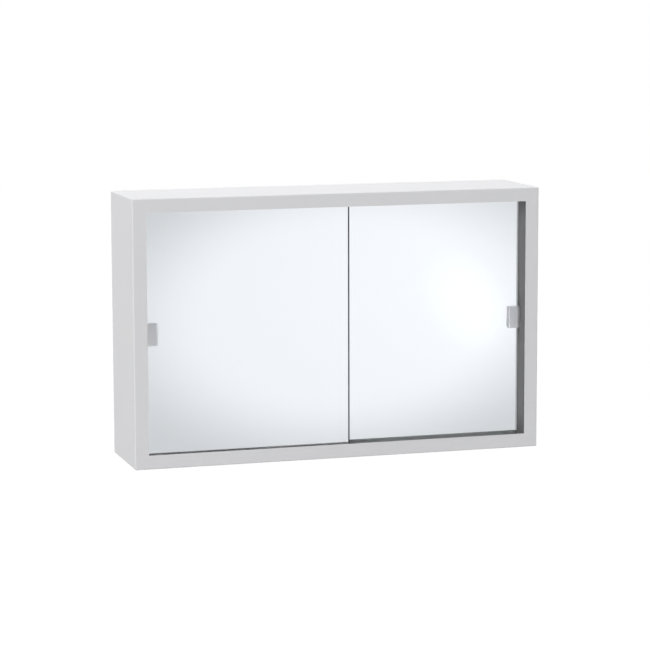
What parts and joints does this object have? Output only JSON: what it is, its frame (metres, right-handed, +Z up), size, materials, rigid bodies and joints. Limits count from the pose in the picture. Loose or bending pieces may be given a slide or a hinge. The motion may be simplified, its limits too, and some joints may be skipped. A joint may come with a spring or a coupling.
{
  "type": "hanging wall cabinet",
  "caption": "Shallow white folded-steel wall cabinet with mirror doors that slide past each other in plastic tracks behind a plain front frame, with a shelf on slotted standards.",
  "frame": {"origin": "centre of the back face, on the wall plane", "axes": "+X to the right seen from the front, +Y into the wall, +Z up"},
  "size_m": [0.6, 0.14, 0.38],
  "materials": {
    "white_powder_coat": "satin powder coat",
    "track_plastic": "extruded PVC, matt",
    "mounting_tape": "foam tape",
    "clear_tape": "clear adhesive film",
    "stop_rubber": "moulded",
    "clip_steel": "zinc plated",
    "mirror_glass": "float glass, polished and sealed edges",
    "mirror_silver": "silvered, safety film behind",
    "glide_nylon": "moulded nylon",
    "pull_plastic": "frosted, lets light through"
  },
  "bodies": {
    "cabinet": {"left_side": "white_powder_coat", "right_side": "white_powder_coat", "top_panel": "white_powder_coat", "bottom_panel": "white_powder_coat", "back_panel": "white_powder_coat", "left_hanger_plate": "white_powder_coat", "right_hanger_plate": "white_powder_coat", "left_front_standard": "white_powder_coat", "left_rear_standard": "white_powder_coat", "right_front_standard": "white_powder_coat", "right_rear_standard": "white_powder_coat", "shelf": "white_powder_coat", "top_track": "track_plastic", "bottom_track": "track_plastic", "top_track_tape": "mounting_tape", "bottom_track_tape": "mounting_tape", "top_track_stops": "stop_rubber", "bottom_track_stops": "stop_rubber", "shelf_clips": "clip_steel"},
    "left_door": {"left_mirror_glass": "mirror_glass", "left_mirror_film": "mirror_silver", "left_door_glides": "glide_nylon", "left_pull": "pull_plastic", "left_pull_tape": "clear_tape"},
    "right_door": {"right_mirror_glass": "mirror_glass", "right_mirror_film": "mirror_silver", "right_door_glides": "glide_nylon", "right_pull": "pull_plastic", "right_pull_tape": "clear_tape"}
  },
  "joints": [
    {"name": "left_door_slide", "type": "slide", "parent": "cabinet", "child": "left_door", "axis": [1, 0, 0], "range_m": [-0.0027, 0.2667]},
    {"name": "right_door_slide", "type": "slide", "parent": "cabinet", "child": "right_door", "axis": [1, 0, 0], "range_m": [-0.2611, 0.0083]}
  ]
}
